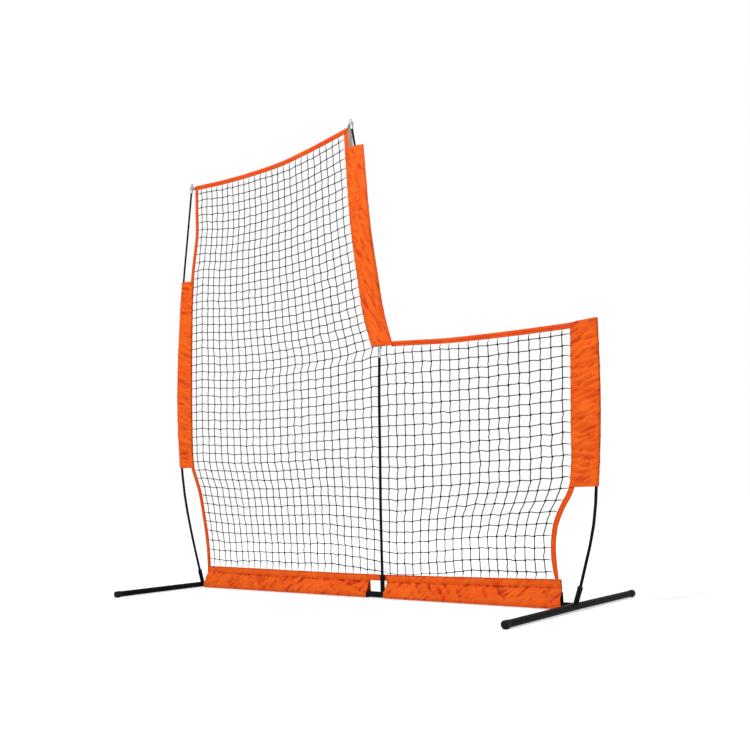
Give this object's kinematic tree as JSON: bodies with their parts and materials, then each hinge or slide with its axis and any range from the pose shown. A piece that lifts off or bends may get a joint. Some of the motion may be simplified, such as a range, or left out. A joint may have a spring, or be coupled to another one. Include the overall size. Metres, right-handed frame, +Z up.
{
  "type": "baseball L screen",
  "caption": "Portable L-shaped pitching screen: bowed poles in a steel tube base stretch a knotted net with fabric edge bands, pole sleeves and a ground skirt",
  "frame": {"origin": "on the ground, midway between the outermost points of the two sides, in line with the poles", "axes": "+X runs along the screen from its tall side to its low side, +Y to the rear, where the net lies behind the poles and the buttons face, +Z up"},
  "size_m": [2.3808, 1.035, 2.1687],
  "materials": {
    "black_steel": "black powder coat, semi-gloss",
    "black_moulding": "moulded, fine grain",
    "fibreglass": "pultruded rod, black, satin",
    "aluminium": "drawn tube, satin",
    "spring_steel": "bright plated",
    "grey_moulding": "moulded, matt",
    "orange_nylon": "coated woven nylon, slight sheen",
    "net_twine": "braided twine, matt",
    "grey_webbing": "woven webbing, matt",
    "hook_tape": "hook tape, matt"
  },
  "bodies": {
    "screen": {"left_foot_tube": "black_steel", "right_foot_tube": "black_steel", "left_rail": "black_steel", "right_rail": "black_steel", "left_spigot": "black_steel", "centre_spigot": "black_steel", "right_spigot": "black_steel", "left_socket": "black_steel", "centre_socket": "black_steel", "right_socket": "black_steel", "left_front_cap": "black_moulding", "left_rear_cap": "black_moulding", "right_front_cap": "black_moulding", "right_rear_cap": "black_moulding", "left_collar": "black_moulding", "centre_collar": "black_moulding", "right_collar": "black_moulding", "left_pole_lower": "fibreglass", "left_pole_upper": "fibreglass", "centre_pole_lower": "fibreglass", "centre_pole_upper": "fibreglass", "right_pole": "fibreglass", "left_ferrule": "aluminium", "centre_ferrule": "aluminium", "left_tip": "aluminium", "centre_tip": "aluminium", "right_tip": "aluminium", "left_tip_cap": "grey_moulding", "centre_tip_cap": "grey_moulding", "right_tip_cap": "grey_moulding", "left_button_spring": "spring_steel", "centre_button_spring": "spring_steel", "right_button_spring": "spring_steel", "top_band": "orange_nylon", "left_band": "orange_nylon", "centre_band": "orange_nylon", "notch_band": "orange_nylon", "right_band": "orange_nylon", "hem_band": "orange_nylon", "left_sleeve": "orange_nylon", "centre_sleeve": "orange_nylon", "right_sleeve": "orange_nylon", "left_skirt": "orange_nylon", "right_skirt": "orange_nylon", "left_hook_strip": "hook_tape", "right_hook_strip": "hook_tape", "left_corner_strap": "grey_webbing", "centre_corner_strap": "grey_webbing", "centre_edge_strap": "grey_webbing", "tall_net": "net_twine", "low_net": "net_twine"},
    "left_button_body": {"left_button": "spring_steel"},
    "centre_button_body": {"centre_button": "spring_steel"},
    "right_button_body": {"right_button": "spring_steel"}
  },
  "joints": [
    {"name": "left_button_press", "type": "slide", "parent": "screen", "child": "left_button_body", "axis": [0, -1, 0], "range_m": [0, 0.0062], "stiffness_N_per_m": 400, "springref_m": -0.004, "deforming": ["left_button_spring"]},
    {"name": "centre_button_press", "type": "slide", "parent": "screen", "child": "centre_button_body", "axis": [0, -1, 0], "range_m": [0, 0.0062], "stiffness_N_per_m": 400, "springref_m": -0.004, "deforming": ["centre_button_spring"]},
    {"name": "right_button_press", "type": "slide", "parent": "screen", "child": "right_button_body", "axis": [0, -1, 0], "range_m": [0, 0.0062], "stiffness_N_per_m": 400, "springref_m": -0.004, "deforming": ["right_button_spring"]}
  ]
}
